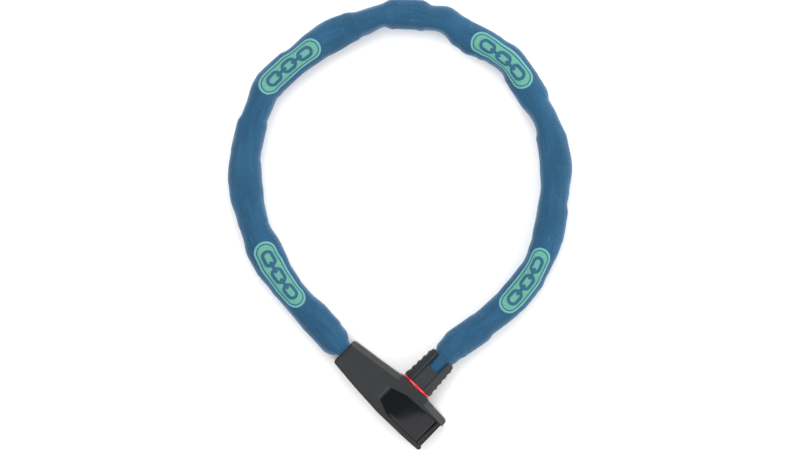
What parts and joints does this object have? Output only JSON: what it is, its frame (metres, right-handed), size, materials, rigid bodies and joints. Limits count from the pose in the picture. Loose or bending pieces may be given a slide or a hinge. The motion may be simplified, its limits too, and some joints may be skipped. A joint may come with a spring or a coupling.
{
  "type": "chain lock",
  "caption": "Closed loop of square-link chain in a woven sleeve, held by a tapered lock body with a plug-in end that a keyed latch grips.",
  "frame": {"origin": "on the lock body's flat back, under the crossing of the body's long axis and the plug's axis", "axes": "+X along the body to its keyhole end, +Y along the plug out of the body, +Z away from the flat back"},
  "size_m": [0.2743, 0.2599, 0.025],
  "materials": {
    "shell_plastic": "fine matte moulding",
    "gloss_plastic": "polished",
    "red_rubber": "satin",
    "lock_steel": "machined",
    "chain_steel": "hardened, zinc coated",
    "brass": "machined",
    "sleeve_fabric": "ribbed weave with printed patches"
  },
  "bodies": {
    "lock_body": {"housing_rear": "shell_plastic", "housing_front": "shell_plastic", "window_inlay": "gloss_plastic", "end_cap": "shell_plastic", "housing_screw_1": "lock_steel", "housing_screw_2": "lock_steel", "cylinder_shell": "brass", "latch_spring": "lock_steel", "socket_block": "lock_steel", "bolt_guide": "lock_steel", "anchor_bracket": "lock_steel", "anchor_pin": "lock_steel", "chain_link_27": "chain_steel"},
    "plug": {"plug_bolt": "lock_steel", "plug_pin": "lock_steel", "grip_collar": "shell_plastic", "gasket_ring": "red_rubber", "chain_link_01": "chain_steel"},
    "cylinder": {"cylinder_core": "brass", "wafer_1": "brass", "wafer_2": "brass", "wafer_3": "brass", "wafer_4": "brass", "cam_disc": "lock_steel"},
    "latch": {"latch_plate": "lock_steel"},
    "cover": {"keyhole_cover": "shell_plastic"},
    "link_02": {"chain_link_02": "chain_steel"},
    "link_03": {"chain_link_03": "chain_steel", "sleeve_1": "sleeve_fabric"},
    "link_04": {"chain_link_04": "chain_steel"},
    "link_05": {"chain_link_05": "chain_steel"},
    "link_06": {"chain_link_06": "chain_steel", "sleeve_2": "sleeve_fabric"},
    "link_07": {"chain_link_07": "chain_steel"},
    "link_08": {"chain_link_08": "chain_steel"},
    "link_09": {"chain_link_09": "chain_steel", "sleeve_3": "sleeve_fabric"},
    "link_10": {"chain_link_10": "chain_steel"},
    "link_11": {"chain_link_11": "chain_steel"},
    "link_12": {"chain_link_12": "chain_steel", "sleeve_4": "sleeve_fabric"},
    "link_13": {"chain_link_13": "chain_steel"},
    "link_14": {"chain_link_14": "chain_steel"},
    "link_15": {"chain_link_15": "chain_steel"},
    "link_16": {"chain_link_16": "chain_steel", "sleeve_5": "sleeve_fabric"},
    "link_17": {"chain_link_17": "chain_steel"},
    "link_18": {"chain_link_18": "chain_steel"},
    "link_19": {"chain_link_19": "chain_steel", "sleeve_6": "sleeve_fabric"},
    "link_20": {"chain_link_20": "chain_steel"},
    "link_21": {"chain_link_21": "chain_steel"},
    "link_22": {"chain_link_22": "chain_steel", "sleeve_7": "sleeve_fabric"},
    "link_23": {"chain_link_23": "chain_steel"},
    "link_24": {"chain_link_24": "chain_steel"},
    "link_25": {"chain_link_25": "chain_steel", "sleeve_8": "sleeve_fabric"},
    "link_26": {"chain_link_26": "chain_steel"}
  },
  "joints": [
    {"name": "plug_release", "type": "slide", "parent": "lock_body", "child": "plug", "axis": [0, 1, 0], "range_m": [0, 0.12], "deforming": ["sleeve_1", "sleeve_2", "sleeve_3", "sleeve_4", "sleeve_5", "sleeve_6", "sleeve_7", "sleeve_8"]},
    {"name": "chain_hinge_01", "type": "hinge", "parent": "plug", "child": "link_02", "pos_m": [0, 0.06062, 0.0124], "axis": [0, 0, 1], "range_deg": [-16.62, 0]},
    {"name": "chain_hinge_02", "type": "hinge", "parent": "link_02", "child": "link_03", "pos_m": [0.00375, 0.07897, 0.0124], "axis": [0, 0, 1], "range_deg": [-9.37, 0]},
    {"name": "chain_hinge_03", "type": "hinge", "parent": "link_03", "child": "link_04", "pos_m": [0.0067, 0.11237, 0.0124], "axis": [0, 0, 1], "range_deg": [0, 7.43]},
    {"name": "chain_hinge_04", "type": "hinge", "parent": "link_04", "child": "link_05", "pos_m": [0.00498, 0.13101, 0.0124], "axis": [0, 0, 1], "range_deg": [0, 13.64]},
    {"name": "chain_hinge_05", "type": "hinge", "parent": "link_05", "child": "link_06", "pos_m": [-0.00643, 0.16253, 0.0124], "axis": [0, 0, 1], "range_deg": [0, 13.09]},
    {"name": "chain_hinge_06", "type": "hinge", "parent": "link_06", "child": "link_07", "pos_m": [-0.01706, 0.17795, 0.0124], "axis": [0, 0, 1], "range_deg": [0, 8.83]},
    {"name": "chain_hinge_07", "type": "hinge", "parent": "link_07", "child": "link_08", "pos_m": [-0.03882, 0.20345, 0.0124], "axis": [0, 0, 1], "range_deg": [0, 4.18]},
    {"name": "chain_hinge_08", "type": "hinge", "parent": "link_08", "child": "link_09", "pos_m": [-0.05372, 0.21479, 0.0124], "axis": [0, 0, 1], "range_deg": [0, 2.94]},
    {"name": "chain_hinge_09", "type": "hinge", "parent": "link_09", "child": "link_10", "pos_m": [-0.08461, 0.22782, 0.0124], "axis": [0, 0, 1], "range_deg": [-2.8, 0]},
    {"name": "chain_hinge_10", "type": "hinge", "parent": "link_10", "child": "link_11", "pos_m": [-0.10285, 0.23204, 0.0124], "axis": [0, 0, 1], "range_deg": [-2.27, 0]},
    {"name": "chain_hinge_11", "type": "hinge", "parent": "link_11", "child": "link_12", "pos_m": [-0.13633, 0.23033, 0.0124], "axis": [0, 0, 1], "range_deg": [-2.53, 0]},
    {"name": "chain_hinge_12", "type": "hinge", "parent": "link_12", "child": "link_13", "pos_m": [-0.15428, 0.225, 0.0124], "axis": [0, 0, 1], "range_deg": [-2.72, 0]},
    {"name": "chain_hinge_14", "type": "hinge", "parent": "link_15", "child": "link_14", "pos_m": [-0.19957, 0.20055, 0.0124], "axis": [0, 0, 1], "range_deg": [0, 4.05]},
    {"name": "chain_hinge_15", "type": "hinge", "parent": "link_16", "child": "link_15", "pos_m": [-0.21588, 0.17125, 0.0124], "axis": [0, 0, 1], "range_deg": [0, 3.34]},
    {"name": "chain_hinge_16", "type": "hinge", "parent": "link_17", "child": "link_16", "pos_m": [-0.22222, 0.15364, 0.0124], "axis": [0, 0, 1], "range_deg": [0, 3.41]},
    {"name": "chain_hinge_17", "type": "hinge", "parent": "link_18", "child": "link_17", "pos_m": [-0.22808, 0.12063, 0.0124], "axis": [0, 0, 1], "range_deg": [0, 4.04]},
    {"name": "chain_hinge_18", "type": "hinge", "parent": "link_19", "child": "link_18", "pos_m": [-0.22912, 0.10193, 0.0124], "axis": [0, 0, 1], "range_deg": [0, 5.08]},
    {"name": "chain_hinge_19", "type": "hinge", "parent": "link_20", "child": "link_19", "pos_m": [-0.21734, 0.07055, 0.0124], "axis": [0, 0, 1], "range_deg": [0, 4.92]},
    {"name": "chain_hinge_20", "type": "hinge", "parent": "link_21", "child": "link_20", "pos_m": [-0.20775, 0.05446, 0.0124], "axis": [0, 0, 1], "range_deg": [0, 5.03]},
    {"name": "chain_hinge_21", "type": "hinge", "parent": "link_22", "child": "link_21", "pos_m": [-0.1839, 0.0309, 0.0124], "axis": [0, 0, 1], "range_deg": [0, 4.37]},
    {"name": "chain_hinge_22", "type": "hinge", "parent": "link_23", "child": "link_22", "pos_m": [-0.16814, 0.0208, 0.0124], "axis": [0, 0, 1], "range_deg": [0, 3.6]},
    {"name": "chain_hinge_23", "type": "hinge", "parent": "link_24", "child": "link_23", "pos_m": [-0.1371, 0.00813, 0.0124], "axis": [0, 0, 1], "range_deg": [0, 3.14]},
    {"name": "chain_hinge_24", "type": "hinge", "parent": "link_25", "child": "link_24", "pos_m": [-0.11881, 0.00412, 0.0124], "axis": [0, 0, 1], "range_deg": [-4.31, 0]},
    {"name": "chain_hinge_25", "type": "hinge", "parent": "link_26", "child": "link_25", "pos_m": [-0.08541, 0.00116, 0.0124], "axis": [0, 0, 1], "range_deg": [-8.22, 0]},
    {"name": "chain_hinge_26", "type": "hinge", "parent": "lock_body", "child": "link_26", "pos_m": [-0.06673, 0, 0.0124], "axis": [0, 0, 1], "range_deg": [-14.33, 0]},
    {"name": "cylinder_turn", "type": "hinge", "parent": "lock_body", "child": "cylinder", "pos_m": [0.02, -0.001, 0.0125], "axis": [-1, 0, 0], "range_deg": [0, 90]},
    {"name": "latch_travel", "type": "slide", "parent": "lock_body", "child": "latch", "axis": [0, 0, -1], "range_m": [0, 0.003], "deforming": ["latch_spring"]},
    {"name": "cover_slide", "type": "slide", "parent": "lock_body", "child": "cover", "axis": [0, -1, 0], "range_m": [0, 0.006]}
  ],
  "couplings": [
    {"joint": "chain_hinge_01", "follows": "plug_release", "rad_per_m": -2.41},
    {"joint": "chain_hinge_02", "follows": "plug_release", "rad_per_m": -1.356},
    {"joint": "chain_hinge_03", "follows": "plug_release", "rad_per_m": 1.074},
    {"joint": "chain_hinge_04", "follows": "plug_release", "rad_per_m": 1.976},
    {"joint": "chain_hinge_05", "follows": "plug_release", "rad_per_m": 1.897},
    {"joint": "chain_hinge_06", "follows": "plug_release", "rad_per_m": 1.277},
    {"joint": "chain_hinge_07", "follows": "plug_release", "rad_per_m": 0.6},
    {"joint": "chain_hinge_08", "follows": "plug_release", "rad_per_m": 0.42},
    {"joint": "chain_hinge_09", "follows": "plug_release", "rad_per_m": -0.4},
    {"joint": "chain_hinge_10", "follows": "plug_release", "rad_per_m": -0.323},
    {"joint": "chain_hinge_11", "follows": "plug_release", "rad_per_m": -0.361},
    {"joint": "chain_hinge_12", "follows": "plug_release", "rad_per_m": -0.389},
    {"joint": "chain_hinge_14", "follows": "plug_release", "rad_per_m": 0.582},
    {"joint": "chain_hinge_15", "follows": "plug_release", "rad_per_m": 0.478},
    {"joint": "chain_hinge_16", "follows": "plug_release", "rad_per_m": 0.488},
    {"joint": "chain_hinge_17", "follows": "plug_release", "rad_per_m": 0.581},
    {"joint": "chain_hinge_18", "follows": "plug_release", "rad_per_m": 0.732},
    {"joint": "chain_hinge_19", "follows": "plug_release", "rad_per_m": 0.708},
    {"joint": "chain_hinge_20", "follows": "plug_release", "rad_per_m": 0.725},
    {"joint": "chain_hinge_21", "follows": "plug_release", "rad_per_m": 0.629},
    {"joint": "chain_hinge_22", "follows": "plug_release", "rad_per_m": 0.517},
    {"joint": "chain_hinge_23", "follows": "plug_release", "rad_per_m": 0.45},
    {"joint": "chain_hinge_24", "follows": "plug_release", "rad_per_m": -0.62},
    {"joint": "chain_hinge_25", "follows": "plug_release", "rad_per_m": -1.188},
    {"joint": "chain_hinge_26", "follows": "plug_release", "rad_per_m": -2.077},
    {"joint": "cylinder_turn", "follows": "latch_travel", "rad_per_m": 523.59}
  ]
}
